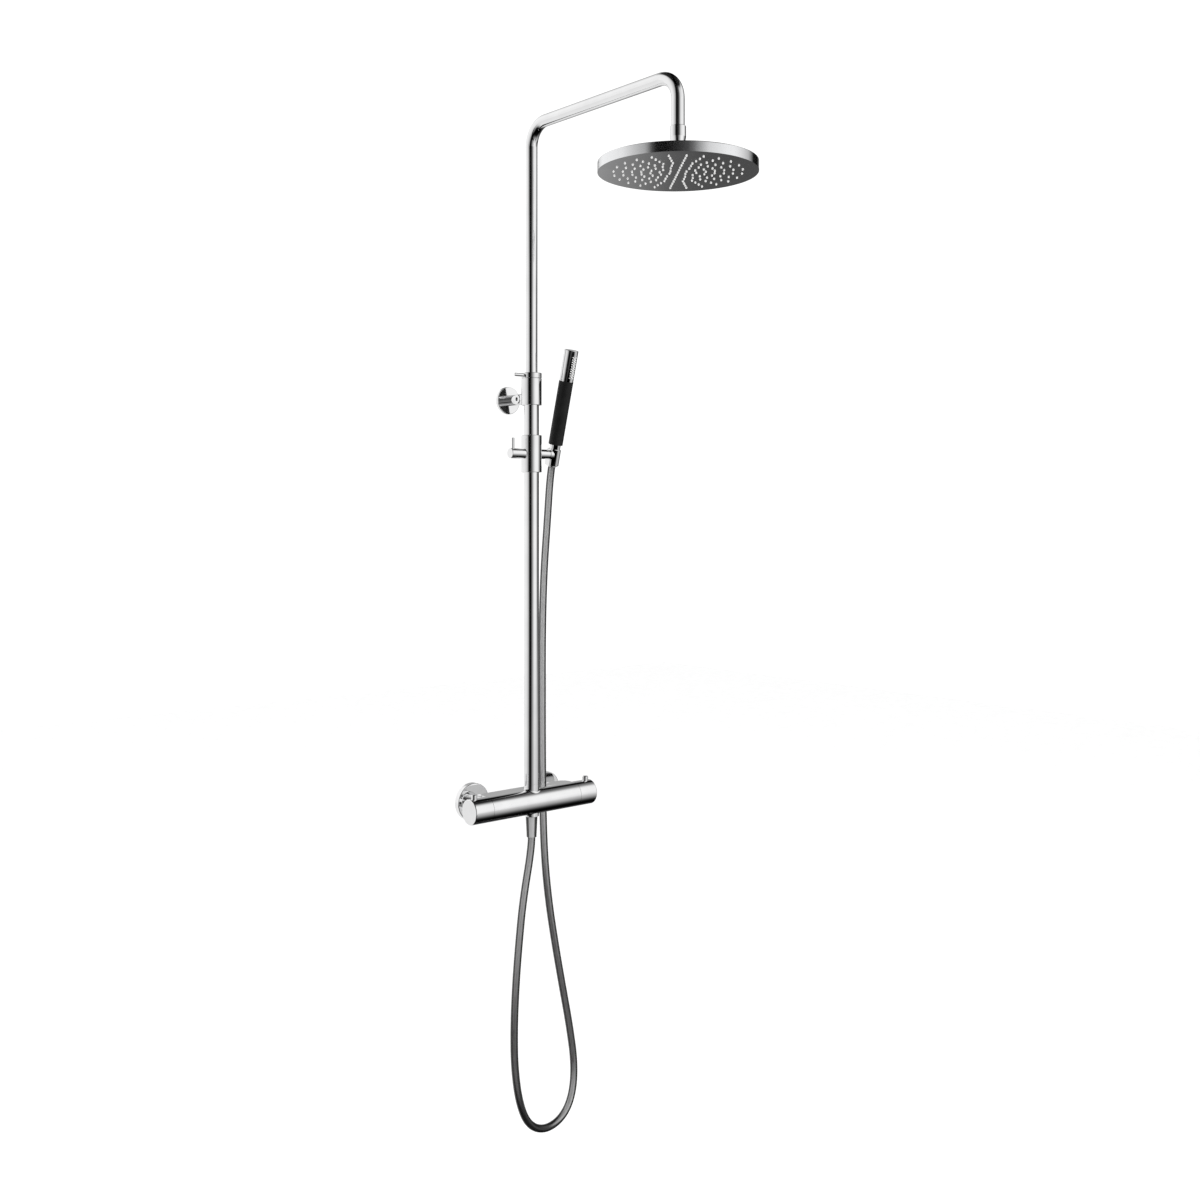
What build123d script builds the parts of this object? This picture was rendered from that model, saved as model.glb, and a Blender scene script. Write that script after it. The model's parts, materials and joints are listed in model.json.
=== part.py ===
from build123d import *
import math
import os

os.makedirs("parts", exist_ok=True)

# Rainfall shower column with a bar valve, in millimetres.
# The wall is the plane y = 0 and the room is on its -Y side. X runs along the valve and Z is up.
# The origin lies on the wall, midway between the two water inlets and at their height.

# ---- driving dimensions -------------------------------------------------------------------
INLET_SPACING = 150.0          # centre to centre, the European standard for wall valves
G_HALF_R = 10.48               # outer radius of a G1/2 pipe thread
WALL_TO_AXIS = 68.0            # wall to the axis shared by the valve and the riser
VALVE_R = 20.5
VALVE_HALF_LENGTH = 125.0
HANDLE_LENGTH = 35.0
HANDLE_GAP = 0.4               # open seam between a handle and the valve body
RISER_R = 12.25
RISER_BORE_R = 10.75
PIPE_R = 9.75
PIPE_BORE_R = 8.55
COLLAR_R = 16.75
ARM_REACH = 348.0              # riser axis to rain head axis
ARM_HEIGHT = 1114.5            # axis of the horizontal arm
ARM_BEND_R = 37.0
HEAD_R = 117.0
HEAD_RIM = 15.0
HEAD_FACE_Z = 970.6
RIM_LIP = 0.9
NOZZLE_RINGS = 7
NOZZLE_PITCH = 13.4            # radial step from ring to ring
NOZZLE_MAX_PER_RING = 24
NOZZLE_PHASE = 53.4            # degrees, where the rows of nozzles start
BRACKET_Z = 664.5
SLIDER_Z = 573.0
SLIDER_HALF = 30.5
HOLDER_X = 47.5
HANDSET_LEAN = 15.4            # degrees from upright, towards the room
HANDSET_R = 11.8
HOSE_R = 6.25
FIT = 0.05                     # radial clearance of a running fit
GAP = 0.3                      # space between faces that pass each other

AXIS_Y = -WALL_TO_AXIS
INLET_X = INLET_SPACING / 2
BODY_HALF = VALVE_HALF_LENGTH - HANDLE_LENGTH - HANDLE_GAP


# ---- helpers ------------------------------------------------------------------------------
def rod(radius, start, end):
    """A round bar between two points."""
    start = Vector(*start)
    axis = Vector(*end) - start
    return Solid.make_cylinder(radius, axis.length, Plane(origin=start, z_dir=axis))


def taper(radius_start, radius_end, start, end):
    """A round bar whose radius changes evenly along its length."""
    start = Vector(*start)
    axis = Vector(*end) - start
    return Solid.make_cone(radius_start, radius_end, axis.length, Plane(origin=start, z_dir=axis))


def ring(outer, inner, start, end):
    """A round bar with a round hole right through."""
    return rod(outer, start, end) - rod(inner, start, end)


def along_x(x):
    """A point on the axis of the valve."""
    return (x, AXIS_Y, 0.0)


def on_riser(z):
    """A point on the axis of the riser."""
    return (0.0, AXIS_Y, z)


def on_head(z):
    """A point on the axis of the rain head."""
    return (0.0, AXIS_Y - ARM_REACH, z)


def at_inlet(x, y):
    """A point on the axis of one of the two wall inlets."""
    return (x, y, 0.0)


def block(x0, x1, y0, y1, z0, z1):
    """A box given by its lowest and highest corners."""
    centre = ((x0 + x1) / 2, (y0 + y1) / 2, (z0 + z1) / 2)
    return Pos(*centre) * Box(x1 - x0, y1 - y0, z1 - z0)


def handset_point(distance, side=0.0, forward=0.0):
    """A point at a distance along the leaning axis of the hand shower."""
    lean = math.radians(HANDSET_LEAN)
    y = HANDSET_Y - distance * math.sin(lean) - forward * math.cos(lean)
    z = SLIDER_Z + distance * math.cos(lean) - forward * math.sin(lean)
    return (HOLDER_X + side, y, z)


def swept_bar(radius, path):
    """A round bar along a path."""
    profile = Plane(origin=path @ 0, z_dir=path % 0) * Circle(radius)
    return sweep(profile, path=path)


def round_edges(shape):
    """The circular edges of a solid."""
    return shape.edges().filter_by(GeomType.CIRCLE)


def edges_near_riser(shape, half, z0, z1):
    """Edges between two heights that stay within a square about the riser axis."""
    found = []
    for edge in shape.edges():
        box = edge.bounding_box()
        inside_x = box.min.X > -half and box.max.X < half
        inside_y = box.min.Y > AXIS_Y - half and box.max.Y < AXIS_Y + half
        if inside_x and inside_y and box.min.Z > z0 and box.max.Z < z1:
            found.append(edge)
    return found


def save(name, *solids):
    """Write one node. Several solids in a node are identical fasteners or fittings."""
    children = []
    for solid in solids:
        children.extend(solid.solids())
    shape = children[0] if len(children) == 1 else Compound(children=children)
    shape.label = name
    export_step(shape, os.path.join("parts", name + ".step"))


HANDSET_Y = AXIS_Y + 1.0

# ---- valve body ---------------------------------------------------------------------------
WEB_REAR_Y = AXIS_Y + 26.0
WEB_HALF_HEIGHT = VALVE_R - 0.6
WEB_CORNER_R = 14.0
SPIGOT_R = 13.2                # outer radius of the G3/4 thread at each inlet
SPIGOT_END_Y = WEB_REAR_Y + 11.0
NECK_TOP_Z = 30.0
NECK_INNER_R = 8.2
OUTLET_BOSS_R = 12.0
OUTLET_BOSS_Z = -23.5
OUTLET_BORE_R = 7.2
INLET_BORE_R = 7.0
FLARE_R = 4.0                  # sweep of metal where the riser stands on the valve
BOSS_FILLET_R = 2.0
CARTRIDGE_R = 16.0
CARTRIDGE_INNER_X = 38.0
WATERWAY_R = 6.5


def make_valve_body():
    body = rod(VALVE_R, along_x(-BODY_HALF), along_x(BODY_HALF))
    body = body + rod(RISER_R, on_riser(0), on_riser(NECK_TOP_Z))
    body = body + rod(OUTLET_BOSS_R, on_riser(OUTLET_BOSS_Z), on_riser(0))
    near = RISER_R + 0.75
    body = fillet(edges_near_riser(body, near, 12, VALVE_R + 0.5), FLARE_R)
    body = fillet(edges_near_riser(body, near, -VALVE_R - 0.5, -12), BOSS_FILLET_R)
    web = block(-BODY_HALF, BODY_HALF, AXIS_Y, WEB_REAR_Y, -WEB_HALF_HEIGHT, WEB_HALF_HEIGHT)
    rear_corners = web.edges().filter_by(Axis.Z).group_by(Axis.Y)[-1]
    body = body + fillet(rear_corners, WEB_CORNER_R)
    for side in (-1, 1):
        x = side * INLET_X
        body = body + rod(SPIGOT_R, at_inlet(x, WEB_REAR_Y - 1), at_inlet(x, SPIGOT_END_Y))
    for side in (-1, 1):
        x = side * INLET_X
        inner = along_x(side * CARTRIDGE_INNER_X)
        body = body - rod(CARTRIDGE_R, inner, along_x(side * (BODY_HALF + 1)))
        body = body - rod(INLET_BORE_R, at_inlet(x, AXIS_Y), at_inlet(x, SPIGOT_END_Y + 1))
    body = body - rod(WATERWAY_R, along_x(-CARTRIDGE_INNER_X - 1), along_x(CARTRIDGE_INNER_X + 1))
    body = body - rod(NECK_INNER_R, on_riser(0), on_riser(NECK_TOP_Z + 1))
    return body - rod(OUTLET_BORE_R, on_riser(OUTLET_BOSS_Z - 1), on_riser(0))


save("valve_body", make_valve_body())

# ---- wall unions, nuts and flanges --------------------------------------------------------
FLANGE_R = 30.5
FLANGE_DEPTH = 10.0
FLANGE_WALL = 1.6
UNION_NUT_R = 15.0
UNION_NUT_LENGTH = 18.4
UNION_THREAD_LENGTH = 18.0
UNION_BARREL_R = 11.5
UNION_BARREL_LENGTH = 14.0
UNION_NIPPLE_R = 10.2
UNION_SHOULDER_R = 12.9
SHOULDER_THICKNESS = 3.0
UNION_FACE_Y = SPIGOT_END_Y + 2.0


def make_wall_union(x):
    """An eccentric union drawn straight: a G1/2 thread for the wall and a shoulder for the nut."""
    thread = rod(G_HALF_R, at_inlet(x, -1), at_inlet(x, UNION_THREAD_LENGTH))
    barrel = rod(UNION_BARREL_R, at_inlet(x, -UNION_BARREL_LENGTH), at_inlet(x, 0))
    nipple = rod(UNION_NIPPLE_R, at_inlet(x, UNION_FACE_Y), at_inlet(x, 1 - UNION_BARREL_LENGTH))
    shoulder_end = at_inlet(x, UNION_FACE_Y + SHOULDER_THICKNESS)
    shoulder = rod(UNION_SHOULDER_R, at_inlet(x, UNION_FACE_Y), shoulder_end)
    bore = rod(INLET_BORE_R, at_inlet(x, UNION_FACE_Y - 1), at_inlet(x, UNION_THREAD_LENGTH + 1))
    return thread + barrel + nipple + shoulder - bore


def make_union_nut(x):
    start_y = WEB_REAR_Y + 0.6
    end_y = start_y + UNION_NUT_LENGTH
    nut = rod(UNION_NUT_R, at_inlet(x, start_y), at_inlet(x, end_y))
    nut = chamfer(round_edges(nut), 0.8)
    seat_y = UNION_FACE_Y + SHOULDER_THICKNESS + 0.1
    nut = nut - rod(SPIGOT_R + 0.15, at_inlet(x, start_y - 1), at_inlet(x, seat_y))
    return nut - rod(UNION_NIPPLE_R + 0.2, at_inlet(x, start_y), at_inlet(x, end_y + 1))


def make_wall_flange(x):
    shell = rod(FLANGE_R, at_inlet(x, -FLANGE_DEPTH), at_inlet(x, 0))
    front_rim = round_edges(shell).group_by(Axis.Y)[0]
    shell = fillet(front_rim, 1.2)
    inner_face_y = FLANGE_WALL - FLANGE_DEPTH
    shell = shell - rod(FLANGE_R - FLANGE_WALL, at_inlet(x, inner_face_y), at_inlet(x, 1))
    return shell - rod(UNION_BARREL_R + 0.2, at_inlet(x, -FLANGE_DEPTH - 1), at_inlet(x, 0))


def make_inlet_washer(x):
    return ring(12.6, INLET_BORE_R + 0.6, at_inlet(x, SPIGOT_END_Y), at_inlet(x, UNION_FACE_Y))


def make_check_valve(x):
    return ring(INLET_BORE_R - FIT, 3.0, at_inlet(x, SPIGOT_END_Y - 15), at_inlet(x, SPIGOT_END_Y - 1))


INLETS = (-INLET_X, INLET_X)
save("wall_unions", *[make_wall_union(x) for x in INLETS])
save("union_nuts", *[make_union_nut(x) for x in INLETS])
save("wall_flanges", *[make_wall_flange(x) for x in INLETS])
save("inlet_washers", *[make_inlet_washer(x) for x in INLETS])
save("check_valves", *[make_check_valve(x) for x in INLETS])

# ---- cartridges ---------------------------------------------------------------------------
CARTRIDGE_OUTER_X = 82.0
CARTRIDGE_CHAMBER_R = 12.5
NUT_OUTER_X = 88.6
SPINDLE_R = 4.0
PORT_X = 56.0
DISC_INNER_X = 41.2
DISC_THICKNESS = 3.5
WAX_INNER_X = 42.0
WAX_LENGTH = 18.0


def make_cartridge(side):
    """A moulded housing with its chamber, a spindle hole, an inlet and an outlet port."""
    housing_start = along_x(side * (CARTRIDGE_INNER_X + 0.5))
    housing = rod(CARTRIDGE_R - 0.1, housing_start, along_x(side * CARTRIDGE_OUTER_X))
    chamber_start = along_x(side * (CARTRIDGE_INNER_X + 2.5))
    chamber = rod(CARTRIDGE_CHAMBER_R, chamber_start, along_x(side * (CARTRIDGE_OUTER_X - 8)))
    hole_end = along_x(side * (CARTRIDGE_OUTER_X + 1))
    spindle_hole = rod(SPINDLE_R + FIT, along_x(side * CARTRIDGE_INNER_X), hole_end)
    port = rod(5.5, (side * PORT_X, AXIS_Y, 0), (side * PORT_X, AXIS_Y, CARTRIDGE_R + 4))
    inlet_start = at_inlet(side * INLET_X, AXIS_Y + 11)
    inlet = rod(6.5, inlet_start, at_inlet(side * INLET_X, AXIS_Y + CARTRIDGE_R + 4))
    return housing - chamber - spindle_hole - port - inlet


def make_cartridge_nut(side):
    start = along_x(side * (CARTRIDGE_OUTER_X + 0.05))
    return ring(CARTRIDGE_R - 0.1, 7.0, start, along_x(side * NUT_OUTER_X))


save("flow_cartridge", make_cartridge(-1))
save("thermostat_cartridge", make_cartridge(1))
save("cartridge_nuts", make_cartridge_nut(-1), make_cartridge_nut(1))
fixed_disc = ring(12.2, 4.6, along_x(-DISC_INNER_X), along_x(-DISC_INNER_X - DISC_THICKNESS))
save("flow_disc_fixed", fixed_disc)
save("wax_element", ring(9.0, 4.6, along_x(WAX_INNER_X), along_x(WAX_INNER_X + WAX_LENGTH)))

# ---- handles ------------------------------------------------------------------------------
HANDLE_WALL = 2.2
HANDLE_END = 3.0
HANDLE_HUB_R = 8.0
SPINDLE_INNER_X = 46.0
SPINDLE_OUTER_X = 117.0
HANDLE_SCREW_X = 100.0
HANDLE_SCREW_R = 2.0
BUTTON_R = 4.8
BUTTON_X = 115.0
BUTTON_TOP_Z = VALVE_R + 6.8
BUTTON_BOTTOM_Z = 10.5
BUTTON_TRAVEL = 2.5


def above_valve(side, x, z):
    """A point straight above or below the valve axis, on the left or right half."""
    return (side * x, AXIS_Y, z)


def make_handle(side):
    """A hollow cap with a hub for its spindle, a guide for its button and a screw hole below."""
    inner_x = side * (BODY_HALF + HANDLE_GAP)
    outer_x = side * VALVE_HALF_LENGTH
    cap = rod(VALVE_R, along_x(inner_x), along_x(outer_x))
    end_edge = round_edges(cap).sort_by(Axis.X)[-1 if side > 0 else 0]
    cap = fillet([end_edge], 1.6)
    hollow_end = along_x(outer_x - side * HANDLE_END)
    hollow = rod(VALVE_R - HANDLE_WALL, along_x(inner_x - side), hollow_end)
    hub = rod(HANDLE_HUB_R, along_x(inner_x + side * 4), along_x(outer_x - side))
    guide_bottom = above_valve(side, BUTTON_X, HANDLE_HUB_R - 1)
    guide = rod(BUTTON_R + 1.6, guide_bottom, above_valve(side, BUTTON_X, VALVE_R - 1))
    cap = cap - hollow + hub + guide
    cap = cap - rod(SPINDLE_R, along_x(inner_x - side), along_x(side * (SPINDLE_OUTER_X + 1)))
    hole_bottom = above_valve(side, BUTTON_X, BUTTON_BOTTOM_Z - BUTTON_TRAVEL - GAP)
    cap = cap - rod(BUTTON_R + FIT, hole_bottom, above_valve(side, BUTTON_X, VALVE_R + 1))
    screw_top = above_valve(side, HANDLE_SCREW_X, 0)
    return cap - rod(HANDLE_SCREW_R, screw_top, above_valve(side, HANDLE_SCREW_X, -VALVE_R - 1))


def make_spindle(side):
    return rod(SPINDLE_R, along_x(side * SPINDLE_INNER_X), along_x(side * SPINDLE_OUTER_X))


def make_handle_screw(side):
    top = above_valve(side, HANDLE_SCREW_X, -SPINDLE_R)
    screw = rod(HANDLE_SCREW_R - FIT, top, above_valve(side, HANDLE_SCREW_X, -VALVE_R + 3))
    socket_top = above_valve(side, HANDLE_SCREW_X, -VALVE_R + 5)
    return screw - rod(0.9, above_valve(side, HANDLE_SCREW_X, -VALVE_R + 1), socket_top)


def make_button(side):
    bottom = above_valve(side, BUTTON_X, BUTTON_BOTTOM_Z)
    button = rod(BUTTON_R, bottom, above_valve(side, BUTTON_X, BUTTON_TOP_Z))
    top_edge = round_edges(button).sort_by(Axis.Z)[-1]
    return fillet([top_edge], 1.8)


save("flow_handle", make_handle(-1))
save("temperature_handle", make_handle(1))
turning_disc = rod(11.8, along_x(-DISC_INNER_X - DISC_THICKNESS - 0.3), along_x(-50.0))
save("flow_spindle", make_spindle(-1) + turning_disc)
WAX_OUTER_X = WAX_INNER_X + WAX_LENGTH
wax_plunger = ring(8.4, SPINDLE_R - 0.5, along_x(WAX_OUTER_X + 1), along_x(WAX_OUTER_X + 12))
short_spindle = make_spindle(1) - rod(4.2, along_x(WAX_INNER_X), along_x(WAX_OUTER_X + 0.5))
save("temperature_spindle", wax_plunger + short_spindle)
save("flow_handle_screw", make_handle_screw(-1))
save("temperature_handle_screw", make_handle_screw(1))
save("eco_stop_button", make_button(-1))
save("heat_stop_button", make_button(1))

# ---- riser --------------------------------------------------------------------------------
RISER_TOP_Z = 678.0
RISER_FOOT_Z = NECK_TOP_Z + 0.1
CONNECTOR_BORE_R = 6.8
CONNECTOR_OVERLAP = 14.0       # length that reaches into the riser, and into the neck
save("riser_tube", ring(RISER_R, RISER_BORE_R, on_riser(RISER_FOOT_Z), on_riser(RISER_TOP_Z)))
sleeve_top = on_riser(NECK_TOP_Z + CONNECTOR_OVERLAP)
connector = rod(RISER_BORE_R - 0.05, on_riser(RISER_FOOT_Z), sleeve_top)
connector = connector + rod(NECK_INNER_R - 0.05, on_riser(NECK_TOP_Z - CONNECTOR_OVERLAP), sleeve_top)
connector_bottom = on_riser(NECK_TOP_Z - CONNECTOR_OVERLAP - 1)
save("riser_connector", connector - rod(CONNECTOR_BORE_R, connector_bottom, on_riser(NECK_TOP_Z + 15)))

# ---- wall bracket -------------------------------------------------------------------------
BRACKET_FLANGE_R = 23.0
BRACKET_FLANGE_DEPTH = 6.0
BRACKET_STEM_R = 8.75
BRACKET_BORE_R = 6.1
COLLAR_BOTTOM_Z = 653.0
COLLAR_TOP_Z = 697.0
SCREW_SPACING = 24.0
SCREW_R = 2.25                 # outer radius of the wood screw thread
SCREW_NECK_R = 1.9
SCREW_REACH = 18.0             # how far the screws stand out behind the wall plane
BASE_R = 19.0
BASE_THICKNESS = 3.6
BRACKET_BORE_DEPTH = 46.0
SPIGOT_TIP_R = BRACKET_BORE_R - 0.1
SCREW_BOSS_R = 7.2
SCREW_BOSS_X = -9.2
GRUB_SCREW_Y = -39.4
GRUB_SCREW_R = 3.2
COLLET_R = 11.95


def at_bracket(y, up=0.0):
    """A point on the axis of the wall bracket, or straight above or below it."""
    return (0.0, y, BRACKET_Z + up)


def beside_bracket(x):
    """A point on the axis of the grub screw, which comes in from the left."""
    return (x, GRUB_SCREW_Y, BRACKET_Z)


def make_bracket_flange():
    disc = rod(BRACKET_FLANGE_R, at_bracket(-BRACKET_FLANGE_DEPTH), at_bracket(0))
    front_rim = round_edges(disc).group_by(Axis.Y)[0]
    disc = fillet(front_rim, 1.0)
    disc = disc - rod(BRACKET_FLANGE_R - 1.8, at_bracket(1.6 - BRACKET_FLANGE_DEPTH), at_bracket(1))
    return disc - rod(BRACKET_STEM_R + 0.05, at_bracket(-BRACKET_FLANGE_DEPTH - 1), at_bracket(0))


def make_bracket_base():
    """The hidden disc that is screwed to the wall, with the spigot that the stem slides on."""
    base = rod(BASE_R, at_bracket(-BASE_THICKNESS), at_bracket(0))
    base = base + rod(SPIGOT_TIP_R, at_bracket(3 - BRACKET_BORE_DEPTH), at_bracket(0))
    for side in (-1, 1):
        up = side * SCREW_SPACING / 2
        base = base - rod(SCREW_R + 0.15, at_bracket(-BASE_THICKNESS - 1, up), at_bracket(1, up))
    return base


def make_bracket_screw(side):
    """A wood screw: a low head, a plain neck through the base, then the thread and its point."""
    up = side * SCREW_SPACING / 2
    head = taper(2.9, 2.4, at_bracket(-BASE_THICKNESS - 0.7, up), at_bracket(-BASE_THICKNESS, up))
    neck = rod(SCREW_NECK_R, at_bracket(-BASE_THICKNESS, up), at_bracket(0.6, up))
    thread = rod(SCREW_R, at_bracket(0.6, up), at_bracket(SCREW_REACH - 3, up))
    point = taper(SCREW_R, 0.5, at_bracket(SCREW_REACH - 3, up), at_bracket(SCREW_REACH, up))
    return head + neck + thread + point


def make_bracket_stem():
    """The tube from the wall flange to the collar, with a flat boss on the left for its screw."""
    stem = rod(BRACKET_STEM_R, at_bracket(-4.4), at_bracket(AXIS_Y + 8))
    stem = stem + rod(SCREW_BOSS_R, beside_bracket(0), beside_bracket(SCREW_BOSS_X))
    stem = stem - rod(BRACKET_BORE_R, at_bracket(-BRACKET_BORE_DEPTH), at_bracket(0))
    stem = stem - rod(COLLAR_R + 0.02, on_riser(COLLAR_BOTTOM_Z - 40), on_riser(COLLAR_TOP_Z + 20))
    return stem - rod(GRUB_SCREW_R + FIT, beside_bracket(SCREW_BOSS_X - 1), beside_bracket(0))


def make_grub_screw():
    """It bears on the spigot of the base and is sunk in its hole."""
    return rod(GRUB_SCREW_R, beside_bracket(SCREW_BOSS_X + 2), beside_bracket(-SPIGOT_TIP_R - FIT))


def make_bracket_collar():
    collar = rod(COLLAR_R, on_riser(COLLAR_BOTTOM_Z), on_riser(COLLAR_TOP_Z))
    collar = chamfer(round_edges(collar), 0.5)
    collar = collar - rod(RISER_R + 0.02, on_riser(COLLAR_BOTTOM_Z - 1), on_riser(RISER_TOP_Z + 0.1))
    return collar - rod(COLLET_R + 0.05, on_riser(RISER_TOP_Z), on_riser(COLLAR_TOP_Z + 1))


def make_clamp_collet():
    """A split sleeve that the lock ring squeezes onto the telescopic pipe."""
    collet = ring(COLLET_R, PIPE_R + FIT, on_riser(RISER_TOP_Z + 0.3), on_riser(COLLAR_TOP_Z - 0.2))
    return collet - block(-0.8, 0.8, AXIS_Y, AXIS_Y + 20, RISER_TOP_Z, COLLAR_TOP_Z)


def make_guide_bush():
    top = on_riser(RISER_TOP_Z - 2)
    return ring(RISER_BORE_R - 0.02, PIPE_R + FIT, on_riser(RISER_TOP_Z - 40), top)


save("bracket_flange", make_bracket_flange())
save("bracket_base", make_bracket_base())
save("bracket_screws", make_bracket_screw(-1), make_bracket_screw(1))
save("bracket_stem", make_bracket_stem())
save("bracket_grub_screw", make_grub_screw())
save("bracket_collar", make_bracket_collar())
save("clamp_collet", make_clamp_collet())
save("guide_bush", make_guide_bush())

# ---- lock ring ----------------------------------------------------------------------------
LOCK_BOTTOM_Z = COLLAR_TOP_Z + 0.4
LOCK_TOP_Z = 706.0
LOCK_PIN_Z = 701.8
LOCK_PIN_R = 2.8
LOCK_PIN_END_X = -35.5
LOCK_PIN_ROOT_X = 4 - COLLAR_R


def at_lock_pin(x):
    return (x, AXIS_Y, LOCK_PIN_Z)


lock_ring = rod(COLLAR_R, on_riser(LOCK_BOTTOM_Z), on_riser(LOCK_TOP_Z))
lock_ring = chamfer(round_edges(lock_ring), 0.5)
lock_ring = lock_ring - rod(PIPE_R + GAP, on_riser(LOCK_BOTTOM_Z - 1), on_riser(LOCK_TOP_Z + 1))
lock_ring = lock_ring - rod(LOCK_PIN_R, at_lock_pin(LOCK_PIN_ROOT_X), at_lock_pin(-COLLAR_R - 1))
save("lock_ring", lock_ring)
lock_pin = rod(LOCK_PIN_R, at_lock_pin(LOCK_PIN_ROOT_X), at_lock_pin(LOCK_PIN_END_X))
save("lock_ring_pin", fillet([round_edges(lock_pin).sort_by(Axis.X)[0]], 0.6))

# ---- telescopic pipe and arm --------------------------------------------------------------
PIPE_BOTTOM_Z = 428.0
NUT_TOP_Z = 1037.7
NIPPLE_BOTTOM_Z = 1023.0
NIPPLE_R = 10.2
BALL_Z = 1014.0
BALL_R = 8.6


PISTON_BORE_R = 6.5
SEAL_HEIGHT = 2.4
SEAL_GROOVE_R = 9.0
SEAL_BOTTOMS_Z = (PIPE_BOTTOM_Z - 11.5, PIPE_BOTTOM_Z - 6.0)


def make_upper_pipe():
    """The telescopic pipe: up inside the riser, over to the rain head and down to its nut."""
    corners = [on_riser(PIPE_BOTTOM_Z), on_riser(ARM_HEIGHT), on_head(ARM_HEIGHT), on_head(NIPPLE_BOTTOM_Z)]
    path = FilletPolyline(*corners, radius=ARM_BEND_R)
    pipe = swept_bar(PIPE_R, path)
    pipe = pipe + rod(NIPPLE_R, on_head(NIPPLE_BOTTOM_Z), on_head(NUT_TOP_Z - 4))
    return pipe - swept_bar(PIPE_BORE_R, path)


def make_pipe_piston():
    """The guide at the pipe's lower end, with two grooves for its seals."""
    skirt = rod(RISER_BORE_R - FIT, on_riser(PIPE_BOTTOM_Z - 14), on_riser(PIPE_BOTTOM_Z - 0.1))
    spigot = rod(PIPE_BORE_R - FIT, on_riser(PIPE_BOTTOM_Z - 1), on_riser(PIPE_BOTTOM_Z + 16))
    bore = rod(PISTON_BORE_R, on_riser(PIPE_BOTTOM_Z - 15), on_riser(PIPE_BOTTOM_Z + 17))
    piston = skirt + spigot - bore
    for z in SEAL_BOTTOMS_Z:
        piston = piston - ring(RISER_BORE_R + 1, SEAL_GROOVE_R, on_riser(z), on_riser(z + SEAL_HEIGHT))
    return piston


def make_piston_seal(z):
    top = on_riser(z + SEAL_HEIGHT - 0.1)
    return ring(RISER_BORE_R - 0.03, SEAL_GROOVE_R + 0.02, on_riser(z + 0.1), top)


save("upper_pipe", make_upper_pipe())
save("pipe_piston", make_pipe_piston())
save("piston_seals", *[make_piston_seal(z) for z in SEAL_BOTTOMS_Z])

# ---- swivel nut and ball joint ------------------------------------------------------------
NUT_R = 11.75
NUT_SHOULDER_Z = 1021.8
NUT_BOTTOM_Z = 1008.0
NUT_BOTTOM_R = 9.3
SEAT_BOTTOM_Z = 1018.9
HEAD_TOP_Z = HEAD_FACE_Z + HEAD_RIM
BOSS_TOP_Z = 997.0
BALL_NECK_R = 4.5
BALL_COLLAR_R = 9.0
BALL_SPIGOT_R = 7.4


def make_swivel_nut():
    """The nut under the arm, which holds the seat and the ball of the rain head."""
    nut = rod(NUT_R, on_head(NUT_SHOULDER_Z), on_head(NUT_TOP_Z))
    nut = chamfer([round_edges(nut).sort_by(Axis.Z)[-1]], 0.6)
    nut = nut + taper(NUT_BOTTOM_R, NUT_R, on_head(NUT_BOTTOM_Z), on_head(NUT_SHOULDER_Z))
    nut = nut - rod(PIPE_R + 0.1, on_head(NUT_TOP_Z - 5), on_head(NUT_TOP_Z + 1))
    nut = nut - rod(NIPPLE_R + 0.1, on_head(SEAT_BOTTOM_Z - 0.4), on_head(NUT_TOP_Z - 3.4))
    nut = nut - rod(BALL_R + GAP, on_head(BALL_Z), on_head(SEAT_BOTTOM_Z + 0.1))
    nut = nut - Pos(*on_head(BALL_Z)) * Sphere(BALL_R + GAP)
    return nut - rod(BALL_NECK_R + 2.2, on_head(NUT_BOTTOM_Z - 1), on_head(BALL_Z))


def make_ball_seat():
    seat = ring(NIPPLE_R - 0.2, 5.0, on_head(SEAT_BOTTOM_Z), on_head(NIPPLE_BOTTOM_Z - GAP))
    return seat - Pos(*on_head(BALL_Z)) * Sphere(BALL_R + GAP)


def make_head_ball():
    """The bored ball, its neck, and the spigot that is screwed into the rain head."""
    ball = Pos(*on_head(BALL_Z)) * Sphere(BALL_R)
    ball = ball + rod(BALL_NECK_R, on_head(BOSS_TOP_Z - 3), on_head(BALL_Z))
    ball = ball + rod(BALL_COLLAR_R, on_head(BOSS_TOP_Z + 0.1), on_head(BOSS_TOP_Z + 3))
    ball = ball + rod(BALL_SPIGOT_R, on_head(BOSS_TOP_Z - 9), on_head(BOSS_TOP_Z + 1))
    return ball - rod(2.8, on_head(BOSS_TOP_Z - 10), on_head(BALL_Z + 10))


save("swivel_nut", make_swivel_nut())
save("ball_seat", make_ball_seat())
save("head_ball", make_head_ball())

# ---- rain head ----------------------------------------------------------------------------
FACE_R = HEAD_R - RIM_LIP
FACE_THICKNESS = 1.5
MAT_THICKNESS = 1.5
NOZZLE_R = 1.7
NOZZLE_TIP_R = 1.25
NOZZLE_LENGTH = 1.5            # how far each nozzle stands out below the face
SHELL_WALL = 1.5
SHELL_DOME = 5.0               # rise of the shell from its rim to its boss
BOSS_R = 14.0
MAT_R = NOZZLE_RINGS * NOZZLE_PITCH + 8.0
DIFFUSER_Z = HEAD_FACE_Z + 7.5
HEAD_SCREWS = 6
SCREW_CIRCLE_R = 30.0


def nozzle_places():
    """One nozzle at the centre, then rings of 6, 12, 18 and at most 24 nozzles."""
    places = [(0.0, 0.0)]
    for number in range(1, NOZZLE_RINGS + 1):
        count = min(6 * number, NOZZLE_MAX_PER_RING)
        for step in range(count):
            angle = math.radians(NOZZLE_PHASE + step * 360 / count)
            radius = number * NOZZLE_PITCH
            places.append((radius * math.cos(angle), radius * math.sin(angle)))
    return places


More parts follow.
